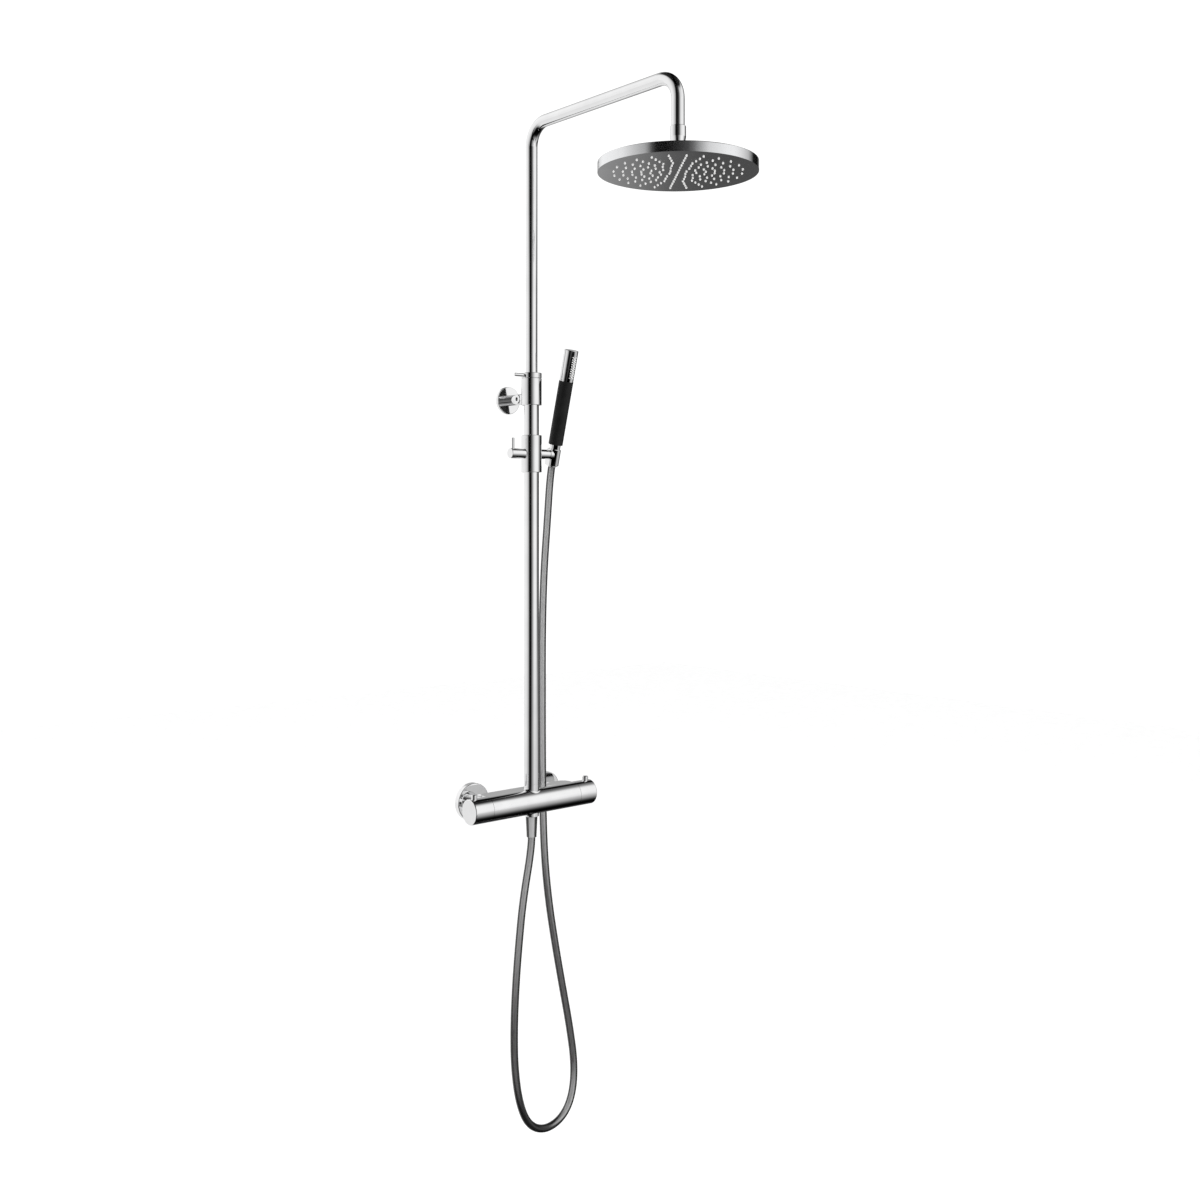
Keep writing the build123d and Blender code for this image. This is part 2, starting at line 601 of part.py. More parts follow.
def make_head_shell():
    shell = rod(HEAD_R, on_head(HEAD_FACE_Z), on_head(HEAD_TOP_Z))
    shell = fillet(round_edges(shell).group_by(Axis.Z)[-1], 1.5)
    dome_top = on_head(HEAD_TOP_Z + SHELL_DOME)
    shell = shell + taper(HEAD_R - 4, BOSS_R + 2, on_head(HEAD_TOP_Z - 0.01), dome_top)
    shell = shell + rod(BOSS_R, on_head(HEAD_TOP_Z), on_head(BOSS_TOP_Z))
    recess_top = on_head(HEAD_FACE_Z + FACE_THICKNESS + 0.1)
    shell = shell - rod(FACE_R, on_head(HEAD_FACE_Z - 1), recess_top)
    hollow_top = on_head(HEAD_TOP_Z - SHELL_WALL)
    shell = shell - rod(HEAD_R - SHELL_WALL - 1.2, on_head(HEAD_FACE_Z), hollow_top)
    return shell - rod(BALL_SPIGOT_R + 0.1, on_head(HEAD_TOP_Z - 5), on_head(BOSS_TOP_Z + 1))


def make_head_face():
    plate = rod(FACE_R - 0.1, on_head(HEAD_FACE_Z), on_head(HEAD_FACE_Z + FACE_THICKNESS))
    hole = rod(NOZZLE_R + 0.1, (0, 0, -1), (0, 0, FACE_THICKNESS + 1))
    centre = on_head(HEAD_FACE_Z)
    holes = [Pos(centre[0] + x, centre[1] + y, centre[2]) * hole for x, y in nozzle_places()]
    return plate - holes


def make_nozzle_mat():
    mat_bottom = HEAD_FACE_Z + FACE_THICKNESS + 0.05
    mat = rod(MAT_R, on_head(mat_bottom), on_head(mat_bottom + MAT_THICKNESS))
    nozzle = taper(NOZZLE_TIP_R, NOZZLE_R, (0, 0, 0), (0, 0, FACE_THICKNESS + NOZZLE_LENGTH + 0.3))
    centre = on_head(HEAD_FACE_Z - NOZZLE_LENGTH)
    nozzles = [Pos(centre[0] + x, centre[1] + y, centre[2]) * nozzle for x, y in nozzle_places()]
    return mat + nozzles


def make_diffuser():
    """The disc above the nozzle mat that spreads the water, with a rim that presses on the mat."""
    disc = rod(MAT_R + 2, on_head(DIFFUSER_Z), on_head(DIFFUSER_Z + 1.5))
    rim = ring(MAT_R + 2, MAT_R, on_head(HEAD_FACE_Z + 3.1), on_head(DIFFUSER_Z))
    return disc + rim - rod(7.0, on_head(DIFFUSER_Z - 1), on_head(DIFFUSER_Z + 3))


def make_head_screw(number):
    angle = math.radians(number * 360 / HEAD_SCREWS)
    x = SCREW_CIRCLE_R * math.cos(angle)
    y = AXIS_Y - ARM_REACH + SCREW_CIRCLE_R * math.sin(angle)
    neck = rod(1.4, (x, y, DIFFUSER_Z - 1.6), (x, y, DIFFUSER_Z))
    return neck + rod(2.4, (x, y, DIFFUSER_Z - 3.2), (x, y, DIFFUSER_Z - 1.6))


def make_head_seal():
    top = on_head(HEAD_TOP_Z - SHELL_WALL - 0.05)
    return ring(13.0, BALL_SPIGOT_R + 0.2, on_head(DIFFUSER_Z + 1.55), top)


save("head_shell", make_head_shell())
save("head_face_plate", make_head_face())
save("nozzle_mat", make_nozzle_mat())
save("head_diffuser", make_diffuser())
save("head_screws", *[make_head_screw(number) for number in range(HEAD_SCREWS)])
save("head_seal", make_head_seal())

# ---- slider -------------------------------------------------------------------------------
BUSH_R = 14.6
STEM_R = 8.0
STEM_SCREW_R = 2.5
CUP_BACK_X = HOLDER_X - 12.6
KNOB_R = 8.25
KNOB_END_X = -44.3
SHANK_R = 3.0
LEVER_X = -38.0
LEVER_R = 2.6
LEVER_TOP_Z = SLIDER_Z + 25.5
LEVER_ROOT_Z = SLIDER_Z + 3.5
BUSH_INSET = 2.0               # how far the bush stops short of the sleeve's ends


def at_stem(x):
    """A point on the cross axis of the slider: the knob is on its left, the holder on its right."""
    return (x, AXIS_Y, SLIDER_Z)


def beside_slider(end):
    """A point on the riser axis, above or below the slider by a length that clears it."""
    return on_riser(SLIDER_Z + end * (SLIDER_HALF + 40))


def make_slider_bush():
    half = SLIDER_HALF - BUSH_INSET
    return ring(BUSH_R, RISER_R + FIT, on_riser(SLIDER_Z - half), on_riser(SLIDER_Z + half))


def make_slider_sleeve():
    sleeve = rod(COLLAR_R, on_riser(SLIDER_Z - SLIDER_HALF), on_riser(SLIDER_Z + SLIDER_HALF))
    sleeve = chamfer(round_edges(sleeve), 0.5)
    sleeve = sleeve - rod(RISER_R + 0.5, beside_slider(-1), beside_slider(1))
    half = SLIDER_HALF - BUSH_INSET + GAP
    sleeve = sleeve - rod(BUSH_R + FIT, on_riser(SLIDER_Z - half), on_riser(SLIDER_Z + half))
    return sleeve - rod(SHANK_R + FIT, at_stem(-10), at_stem(-COLLAR_R - 1))


def make_holder_stem():
    stem = rod(STEM_R, at_stem(8), at_stem(CUP_BACK_X - 0.4))
    stem = stem - rod(COLLAR_R + 0.02, beside_slider(-1), beside_slider(1))
    return stem - rod(STEM_SCREW_R + 0.1, at_stem(20), at_stem(CUP_BACK_X))


def make_clamp_knob():
    """The knob that tightens the slider, with a hole on top for its lever pin."""
    knob = rod(KNOB_R, at_stem(-COLLAR_R - 0.5), at_stem(KNOB_END_X))
    knob = fillet([round_edges(knob).sort_by(Axis.X)[0]], 0.8)
    knob = knob - rod(COLLAR_R + 0.35, beside_slider(-1), beside_slider(1))
    knob = knob + rod(SHANK_R, at_stem(-BUSH_R - 0.35), at_stem(KNOB_END_X + 8))
    return knob - rod(LEVER_R, (LEVER_X, AXIS_Y, LEVER_ROOT_Z), (LEVER_X, AXIS_Y, SLIDER_Z + 12))


def make_lever_pin():
    pin = rod(LEVER_R, (LEVER_X, AXIS_Y, LEVER_ROOT_Z), (LEVER_X, AXIS_Y, LEVER_TOP_Z))
    return fillet([round_edges(pin).sort_by(Axis.Z)[-1]], 0.6)


save("slider_bush", make_slider_bush())
save("slider_sleeve", make_slider_sleeve())
save("holder_stem", make_holder_stem())
save("clamp_knob", make_clamp_knob())
save("clamp_lever_pin", make_lever_pin())

# ---- handset holder -----------------------------------------------------------------------
CUP_R = 10.9
CUP_TOP = 9.7
CUP_BOTTOM = -18.0
CUP_MIDDLE = (CUP_TOP + CUP_BOTTOM) / 2
CUP_WALL_TOP_R = 9.35
CUP_WALL_BOTTOM_R = 8.35
CUP_SLOT = 13.2                # width of the slot that the hose goes in through


def leaning_block(distance, side, width, depth, height):
    """A box that leans with the hand shower."""
    return Pos(*handset_point(distance, side=side)) * Rot(HANDSET_LEAN, 0, 0) * Box(width, depth, height)


def make_holder_cup():
    """The open cup, with a lug and a hub on the side of its stem."""
    cup = rod(CUP_R, handset_point(CUP_BOTTOM), handset_point(CUP_TOP))
    cup = fillet(round_edges(cup), 0.5)
    lug = leaning_block(CUP_MIDDLE, -7, 9, 12, CUP_TOP - CUP_BOTTOM)
    hub = rod(STEM_R + 0.6, at_stem(CUP_BACK_X), at_stem(HOLDER_X - 6))
    cup = cup + lug + hub
    cone_bottom = handset_point(CUP_BOTTOM - 0.01)
    cup = cup - taper(CUP_WALL_BOTTOM_R, CUP_WALL_TOP_R, cone_bottom, handset_point(CUP_TOP + 0.01))
    slot = leaning_block(CUP_MIDDLE, 12, 24, CUP_SLOT, 60)
    screw_hole = rod(STEM_SCREW_R, at_stem(CUP_BACK_X - 1), at_stem(HOLDER_X - 8.6))
    return cup - slot - screw_hole


save("holder_cup", make_holder_cup())
save("holder_axle_screw", rod(STEM_SCREW_R, at_stem(20.5), at_stem(HOLDER_X - 9.6)))

# ---- hand shower and hose nuts ------------------------------------------------------------
GRIP_BOTTOM = 17.7
GRIP_TOP = 124.9
GRIP_R = 12.0
HANDSET_TOP = 176.9
CAP_THICKNESS = 1.9
CORE_R = 10.1
CORE_BORE_R = 5.5
CONE_BOTTOM = -20.0
CONE_TOP = GRIP_BOTTOM - 0.4
CONE_BOTTOM_R = 8.0
CONE_TOP_R = 9.02
THREAD_R = 7.5                 # outer radius of the thread on both ends of the hose
THREAD_LENGTH = 8.5
HOSE_PASSAGE_R = 4.0
WINDOW_BOTTOM = GRIP_TOP + 4.0
WINDOW_TOP = HANDSET_TOP - 6.0
WINDOW_WIDTH = 9.0
LOWER_NUT_TOP_Z = OUTLET_BOSS_Z - 0.6
LOWER_NUT_BOTTOM_Z = -58.0
LOWER_NUT_TOP_R = 9.7
LOWER_NUT_BOTTOM_R = 8.1
NIPPLE_END_Z = -33.0


def make_upper_hose_nut():
    """The conical nut that drops into the holder."""
    cone = taper(CONE_BOTTOM_R, CONE_TOP_R, handset_point(CONE_BOTTOM), handset_point(CUP_TOP + 0.1))
    cone = cone + rod(CONE_TOP_R, handset_point(CUP_TOP), handset_point(CONE_TOP))
    thread_bottom = handset_point(CONE_TOP - THREAD_LENGTH - 2.5)
    cone = cone - rod(THREAD_R + FIT, thread_bottom, handset_point(CONE_TOP + 1))
    return cone - rod(HOSE_PASSAGE_R, handset_point(CONE_BOTTOM - 1), handset_point(CONE_TOP))


def make_hose_washer():
    bottom = handset_point(CONE_TOP - THREAD_LENGTH - 2.3)
    return ring(THREAD_R - GAP, HOSE_PASSAGE_R, bottom, handset_point(CONE_TOP - THREAD_LENGTH - 0.3))


def make_handset_core():
    """The moulded inner body: a thread, and the tube under the grip and the head."""
    thread = rod(THREAD_R, handset_point(CONE_TOP - THREAD_LENGTH), handset_point(GRIP_BOTTOM))
    tube = rod(CORE_R, handset_point(GRIP_BOTTOM - 0.1), handset_point(HANDSET_TOP - 3))
    return thread + tube - rod(CORE_BORE_R, handset_point(0), handset_point(HANDSET_TOP - 6))


def window_box(width):
    """A box on the room side of the handset, over the spray window."""
    depth = 24.0
    centre = handset_point((WINDOW_BOTTOM + WINDOW_TOP) / 2, forward=depth / 2)
    height = WINDOW_TOP - WINDOW_BOTTOM - (WINDOW_WIDTH - width)
    return Pos(*centre) * Rot(HANDSET_LEAN, 0, 0) * Box(width, depth, height)


def make_handset_tube():
    top = handset_point(HANDSET_TOP - CAP_THICKNESS - 0.1)
    return ring(HANDSET_R, CORE_R + 0.02, handset_point(GRIP_TOP + 0.1), top) - window_box(WINDOW_WIDTH)


def make_spray_insert():
    shell = ring(HANDSET_R + 0.1, CORE_R + 0.02, handset_point(WINDOW_BOTTOM), handset_point(WINDOW_TOP))
    return shell & window_box(WINDOW_WIDTH - 0.2)


def make_handset_cap():
    cap = rod(HANDSET_R, handset_point(HANDSET_TOP - CAP_THICKNESS), handset_point(HANDSET_TOP))
    return fillet([round_edges(cap).sort_by(Axis.Z)[-1]], 0.9)


def make_hose_outlet():
    """The nipple that is screwed up into the valve, with the hose thread below."""
    nipple = rod(THREAD_R, on_riser(NIPPLE_END_Z), on_riser(OUTLET_BOSS_Z))
    nipple = nipple + rod(OUTLET_BORE_R - 0.05, on_riser(OUTLET_BOSS_Z), on_riser(-10))
    return nipple - rod(4.8, on_riser(NIPPLE_END_Z - 1), on_riser(-9))


def make_lower_hose_nut():
    bottom = on_riser(LOWER_NUT_BOTTOM_Z)
    nut = taper(LOWER_NUT_BOTTOM_R, LOWER_NUT_TOP_R, bottom, on_riser(LOWER_NUT_TOP_Z))
    nut = nut - rod(THREAD_R + FIT, on_riser(NIPPLE_END_Z - 3), on_riser(LOWER_NUT_TOP_Z + 1))
    return nut - rod(HOSE_PASSAGE_R, on_riser(LOWER_NUT_BOTTOM_Z - 1), on_riser(NIPPLE_END_Z))


save("upper_hose_nut", make_upper_hose_nut())
save("hose_washer", make_hose_washer())
save("handset_core", make_handset_core())
save("handset_grip", ring(GRIP_R, CORE_R + 0.02, handset_point(GRIP_BOTTOM), handset_point(GRIP_TOP)))
save("handset_tube", make_handset_tube())
save("spray_insert", make_spray_insert())
save("handset_cap", make_handset_cap())
save("hose_outlet", make_hose_outlet())
save("lower_hose_nut", make_lower_hose_nut())

# ---- shower hose --------------------------------------------------------------------------
# From the lower nut down the left side of the loop, round its bottom, up behind the valve
# and into the nut in the holder.
HOSE_ROUTE = [
    (0, -68, -58),
    (0, -68, -76),
    (-17, -67.5, -158),
    (-25, -67, -225),
    (-31, -66, -295),
    (-33.5, -64.5, -365),
    (-31.5, -63, -432),
    (-20, -61, -496),
    (2, -58, -539),
    (38, -55, -558),
    (77, -52, -551),
    (102, -49, -522),
    (110, -46, -470),
    (100.5, -43, -400),
    (86.5, -41, -330),
    (72.5, -38.5, -255),
    (60.5, -36, -180),
    (53.2, -34.2, -105),
    (51, -32.8, -20),
    (50.2, -32.3, 75),
    (49.6, -32.8, 185),
    (48.7, -34.6, 290),
    (48.2, -39.6, 380),
    (47.9, -48.3, 455),
    handset_point(-38),
    handset_point(CONE_BOTTOM),
]


def bend_radii(points):
    """The radius of each bend, as large as its two runs allow."""
    radii = []
    for before, corner, after in zip(points, points[1:], points[2:]):
        run_in = Vector(*corner) - Vector(*before)
        run_out = Vector(*after) - Vector(*corner)
        turn = math.radians(run_in.get_angle(run_out))
        radii.append(0.45 * min(run_in.length, run_out.length) / math.tan(turn / 2))
    return radii


hose_radii = bend_radii(HOSE_ROUTE)
hose_path = FilletPolyline(*HOSE_ROUTE, radius=hose_radii)
hose = swept_bar(HOSE_R, hose_path)
straight_volume = math.pi * HOSE_R ** 2 * hose_path.length
print("hose bend radii", [round(radius) for radius in hose_radii])
print("hose length", round(hose_path.length, 1), "volume ratio", round(hose.volume / straight_volume, 4))
save("shower_hose", hose)
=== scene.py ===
import json
import math

import bpy
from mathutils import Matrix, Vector


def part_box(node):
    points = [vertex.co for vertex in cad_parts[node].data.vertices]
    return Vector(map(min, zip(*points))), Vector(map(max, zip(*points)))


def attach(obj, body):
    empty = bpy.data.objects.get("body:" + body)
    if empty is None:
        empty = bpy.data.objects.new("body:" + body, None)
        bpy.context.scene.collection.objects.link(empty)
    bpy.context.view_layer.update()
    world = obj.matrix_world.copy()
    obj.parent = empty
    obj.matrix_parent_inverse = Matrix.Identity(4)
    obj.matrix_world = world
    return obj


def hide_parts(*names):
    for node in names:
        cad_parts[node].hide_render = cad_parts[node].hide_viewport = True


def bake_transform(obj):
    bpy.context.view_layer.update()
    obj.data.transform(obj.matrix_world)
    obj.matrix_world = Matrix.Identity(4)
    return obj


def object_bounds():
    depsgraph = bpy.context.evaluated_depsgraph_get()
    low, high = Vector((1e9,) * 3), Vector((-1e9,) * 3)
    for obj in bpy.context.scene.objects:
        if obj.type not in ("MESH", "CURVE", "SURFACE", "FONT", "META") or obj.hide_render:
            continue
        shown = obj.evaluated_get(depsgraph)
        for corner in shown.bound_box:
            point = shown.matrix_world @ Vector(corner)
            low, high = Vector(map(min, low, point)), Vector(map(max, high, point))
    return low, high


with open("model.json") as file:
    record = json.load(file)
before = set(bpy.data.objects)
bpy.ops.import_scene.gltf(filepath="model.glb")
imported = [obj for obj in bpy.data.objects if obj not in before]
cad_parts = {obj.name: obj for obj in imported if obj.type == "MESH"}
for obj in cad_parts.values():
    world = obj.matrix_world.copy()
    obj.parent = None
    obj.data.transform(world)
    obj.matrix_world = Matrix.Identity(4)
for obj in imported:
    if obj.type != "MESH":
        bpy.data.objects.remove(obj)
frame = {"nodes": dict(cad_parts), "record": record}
cad_low, cad_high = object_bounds()
scene = bpy.context.scene
scene.view_settings.view_transform = "Standard"

# The frame is in metres: X along the valve, Y into the wall, Z up the riser.
MM = 0.001
WALL_TO_AXIS = 0.068
ARM_REACH = 0.348
HEAD_X = 0.0
HEAD_Y = -WALL_TO_AXIS - ARM_REACH
SLIDER_Z = 0.573
HOLDER_X = 0.0475
HANDSET_Y = -WALL_TO_AXIS + 0.001
HANDSET_LEAN = math.radians(15.4)
INLET_HALF_SPACING = 0.075
BRACKET_Z = 0.6645

# ---- camera -------------------------------------------------------------------------------
CAMERA_PLACE = (-1.3448, -1.8171, 0.4848)
CAMERA_TURN = (90.0, 0.0, -40.47)
SENSOR_WIDTH = 36.0            # millimetres, as the focal length
FOCAL_LENGTH = 40.094
SHIFT_RIGHT = 0.0003
SHIFT_UP = -0.0772


def make_camera():
    """A level camera to the left of the shower, with the vertical shift of a view camera."""
    data = bpy.data.cameras.new("camera")
    data.sensor_width = SENSOR_WIDTH
    data.lens = FOCAL_LENGTH
    data.shift_x = SHIFT_RIGHT
    data.shift_y = SHIFT_UP
    camera = bpy.data.objects.new("camera", data)
    camera.location = CAMERA_PLACE
    camera.rotation_euler = [math.radians(angle) for angle in CAMERA_TURN]
    scene.collection.objects.link(camera)
    scene.camera = camera


make_camera()


# ---- building in node trees ---------------------------------------------------------------
def linear(level):
    """The linear light of a grey that shows as this level, from 0 black to 1 white."""
    if level <= 0.04045:
        return level / 12.92
    return ((level + 0.055) / 1.055) ** 2.4


class Tree:
    """Short names for making the nodes of one material or of the world."""

    def __init__(self, tree):
        self.tree = tree
        tree.nodes.clear()

    def node(self, kind, **settings):
        made = self.tree.nodes.new(kind)
        for name, value in settings.items():
            setattr(made, name, value)
        return made

    def link(self, source, target):
        self.tree.links.new(source, target)

    def put(self, socket, value):
        """Feed a socket from another socket, or set it to a constant."""
        if isinstance(value, bpy.types.NodeSocket):
            self.link(value, socket)
        else:
            socket.default_value = value

    def math(self, operation, first, second=0.0):
        made = self.node("ShaderNodeMath", operation=operation)
        self.put(made.inputs[0], first)
        self.put(made.inputs[1], second)
        return made.outputs[0]

    def spread(self, value, low, high, new_low=0.0, new_high=1.0):
        """Change a value's range smoothly, and hold it at the ends."""
        made = self.node("ShaderNodeMapRange", interpolation_type="SMOOTHSTEP")
        for socket, part in zip(made.inputs, (value, low, high, new_low, new_high)):
            self.put(socket, part)
        return made.outputs[0]

    def blend(self, share, first, second):
        """first where share is 0 and second where it is 1, for plain numbers."""
        made = self.node("ShaderNodeMix", data_type="FLOAT")
        self.put(made.inputs[0], share)
        self.put(made.inputs[2], first)
        self.put(made.inputs[3], second)
        return made.outputs[0]

    def ramp(self, value, stops):
        """A colour ramp through (place, colour) stops, where the colour may be one grey level."""
        made = self.node("ShaderNodeValToRGB")
        self.put(made.inputs[0], value)
        elements = made.color_ramp.elements
        while len(elements) < len(stops):
            elements.new(1.0)
        for element, (place, colour) in zip(elements, stops):
            element.position = place
            if isinstance(colour, float):
                colour = (colour, colour, colour)
            element.color = (*colour, 1.0)
        return made.outputs[0]

    def coordinates(self):
        return self.node("ShaderNodeTexCoord").outputs["Object"]

    def noise(self, vector, scale, detail=2.0, rough=0.5):
        made = self.node("ShaderNodeTexNoise")
        self.put(made.inputs["Vector"], vector)
        made.inputs["Scale"].default_value = scale
        made.inputs["Detail"].default_value = detail
        made.inputs["Roughness"].default_value = rough
        return made.outputs["Fac"]

    def stretch(self, vector, scale):
        made = self.node("ShaderNodeMapping")
        self.put(made.inputs["Vector"], vector)
        made.inputs["Scale"].default_value = scale
        return made.outputs["Vector"]

    def bump(self, height, distance, strength=1.0):
        made = self.node("ShaderNodeBump")
        self.put(made.inputs["Height"], height)
        made.inputs["Distance"].default_value = distance
        made.inputs["Strength"].default_value = strength
        return made.outputs["Normal"]


# ---- studio light -------------------------------------------------------------------------
# The level that a polished surface mirrors from each side, by the compass angle in degrees
# from the front (-Y) towards the right (+X).
LEVEL_RING = [
    (-180, 0.97), (-130, 0.94), (-105, 0.86), (-88, 0.74), (-76, 0.40), (-69, 0.03),
    (-52, 0.02), (-46, 0.10), (-31, 0.46), (-18, 0.70), (-3, 0.90), (8, 0.97), (30, 0.97),
    (38, 0.93), (46, 0.82), (55, 0.66), (66, 0.45), (76, 0.08), (100, 0.04), (108, 0.50),
    (116, 0.66), (142, 0.68), (160, 0.90), (180, 0.97),
]
LOW_RING = [
    (-180, 0.93), (-130, 0.90), (-105, 0.82), (-88, 0.66), (-76, 0.20), (-62, 0.03),
    (-50, 0.06), (-36, 0.42), (-18, 0.68), (8, 0.88), (60, 0.90), (84, 0.60), (98, 0.30),
    (136, 0.31), (140, 0.62), (150, 0.88), (180, 0.93),
]
HIGH_RING = [
    (-180, 0.99), (-150, 0.97), (-128, 0.93), (-113, 0.83), (-100, 0.74), (-92, 0.69),
    (-87, 0.58), (-81, 0.28), (-74, 0.06), (-60, 0.03), (-46, 0.14), (-30, 0.27), (-22, 0.42),
    (-12, 0.66), (0, 0.86), (8, 0.93), (18, 0.97), (32, 0.97), (46, 0.90), (62, 0.76),
    (72, 0.50), (78, 0.08), (100, 0.05), (108, 0.50), (116, 0.66), (142, 0.68), (160, 0.90),
    (180, 0.99),
]
# How much of that light is left as the mirrored direction drops or rises, by its z: downwards
# on the front right, downwards on the front left, and upwards on every side.
FLOOR_FALL = [
    (-1.0, 0.0), (-0.78, 0.004), (-0.72, 0.03), (-0.66, 0.10), (-0.57, 0.25), (-0.47, 0.42),
    (-0.30, 0.66), (-0.10, 0.93), (0.0, 1.0),
]
LEFT_FALL = [
    (-1.0, 0.0), (-0.78, 0.01), (-0.66, 0.20), (-0.57, 0.45), (-0.48, 0.50), (-0.45, 0.20),
    (-0.43, 0.0), (-0.35, 0.0), (-0.33, 0.10), (-0.31, 0.45), (-0.285, 0.95), (0.0, 1.0),
]
TOP_FALL = [(0.60, 1.0), (0.70, 0.85), (0.76, 0.45), (0.82, 0.03), (1.0, 0.01)]
LEFT_FALL_ENDS = (0.54, 0.60)  # where LEFT_FALL gives way to FLOOR_FALL, in turns from the back
FALL_BEHIND = (0.15, 0.70)     # the y where the fall fades out towards the back
PANEL_LEAN = 0.115             # how far the right-hand panel leans out with height, in turns
PANEL_EDGE = 3.0               # how sharply the lean starts right of the middle
LOW_RING_FROM = (-0.22, -0.06)
HIGH_RING_FROM = (0.14, 0.24)
PLAIN_LIGHT = 1.12             # the even light on dull surfaces, which is also the backdrop


def ring_stops(levels):
    return [((angle + 180.0) / 360.0, linear(level)) for angle, level in levels]


def height_stops(shares):
    return [((z + 1.0) / 2.0, share) for z, share in shares]


def make_world():
    """White all round for what is seen directly, even light on dull surfaces, and the studio
    with its dark panels in what polished surfaces mirror."""
    world = bpy.data.worlds.new("studio")
    world.use_nodes = True
    scene.world = world
    tree = Tree(world.node_tree)
    direction = tree.node("ShaderNodeTexCoord").outputs["Generated"]
    parts = tree.node("ShaderNodeSeparateXYZ")
    tree.link(direction, parts.inputs[0])
    x, y, z = parts.outputs
    angle = tree.math("ARCTAN2", x, tree.math("MULTIPLY", y, -1.0))
    turn = tree.math("ADD", tree.math("DIVIDE", angle, 2 * math.pi), 0.5)
    side = tree.math("MAXIMUM", tree.math("MINIMUM", tree.math("MULTIPLY", x, PANEL_EDGE), 1.0), 0.0)
    lean = tree.math("MULTIPLY", tree.math("MAXIMUM", z, 0.0), PANEL_LEAN)
    tilted = tree.math("SUBTRACT", turn, tree.math("MULTIPLY", side, lean))
    level = tree.ramp(tilted, ring_stops(LEVEL_RING))
    low = tree.ramp(turn, ring_stops(LOW_RING))
    high = tree.ramp(tilted, ring_stops(HIGH_RING))
    light = tree.blend(tree.spread(z, *LOW_RING_FROM, 1.0, 0.0), level, low)
    light = tree.blend(tree.spread(z, *HIGH_RING_FROM), light, high)
    height = tree.math("ADD", tree.math("MULTIPLY", z, 0.5), 0.5)
    floor_fall = tree.ramp(height, height_stops(FLOOR_FALL))
    left_fall = tree.ramp(height, height_stops(LEFT_FALL))
    on_left = tree.spread(turn, *LEFT_FALL_ENDS, 1.0, 0.0)
    front_fall = tree.blend(on_left, floor_fall, left_fall)
    fall = tree.blend(tree.spread(y, *FALL_BEHIND), front_fall, 1.0)
    light = tree.math("MULTIPLY", light, fall)
    light = tree.math("MULTIPLY", light, tree.ramp(height, height_stops(TOP_FALL)))
    path = tree.node("ShaderNodeLightPath")
    mirrored = path.outputs["Is Glossy Ray"]
    strength = tree.blend(mirrored, PLAIN_LIGHT, light)
    background = tree.node("ShaderNodeBackground")
    background.inputs["Color"].default_value = (1.0, 1.0, 1.0, 1.0)
    tree.link(strength, background.inputs["Strength"])
    output = tree.node("ShaderNodeOutputWorld")
    tree.link(background.outputs[0], output.inputs["Surface"])


LAMP_WIDTH = 1.6
LAMP_HEIGHT = 2.2
LAMP_WATTS = 30.0
LAMP_PLACE = (1.6, -2.4, 1.4)
LAMP_AIM = (0.0, -0.2, 0.3)


def make_key_light():
    """A large soft lamp on the front right that shapes the dull surfaces only."""
    data = bpy.data.lights.new("key", "AREA")
    data.shape = "RECTANGLE"
    data.size = LAMP_WIDTH
    data.size_y = LAMP_HEIGHT
    data.energy = LAMP_WATTS
    lamp = bpy.data.objects.new("key", data)
    lamp.location = LAMP_PLACE
    aim = Vector(LAMP_AIM) - lamp.location
    lamp.rotation_euler = aim.to_track_quat("-Z", "Y").to_euler()
    lamp.visible_glossy = False
    scene.collection.objects.link(lamp)


make_world()
make_key_light()


# ---- materials ----------------------------------------------------------------------------
def shader(name, **constants):
    """A material with one Principled shader, whose constants are set on its own sockets."""
    material = bpy.data.materials.new(name)
    material.use_nodes = True
    tree = Tree(material.node_tree)
    surface = tree.node("ShaderNodeBsdfPrincipled")
    for socket, value in constants.items():
        surface.inputs[socket.replace("_", " ")].default_value = value
    output = tree.node("ShaderNodeOutputMaterial")
    tree.link(surface.outputs[0], output.inputs["Surface"])
    return material, tree, surface


def chrome(name):
    """Polished plate: nearly a mirror, with faint cloudiness and polishing marks."""
    material, tree, surface = shader(name, Metallic=1.0)
    place = tree.coordinates()
    cloud = tree.noise(place, 35.0, 3.0)
    tree.link(tree.ramp(cloud, [(0.3, (0.91, 0.91, 0.915)), (0.7, (0.97, 0.97, 0.972))]),
              surface.inputs["Base Color"])
    tree.link(tree.spread(cloud, 0.3, 0.7, 0.02, 0.055), surface.inputs["Roughness"])
    marks = tree.noise(tree.stretch(place, (1.0, 1.0, 0.2)), 900.0, 1.0)
    tree.link(tree.bump(marks, 0.00001, 0.15), surface.inputs["Normal"])
    return material


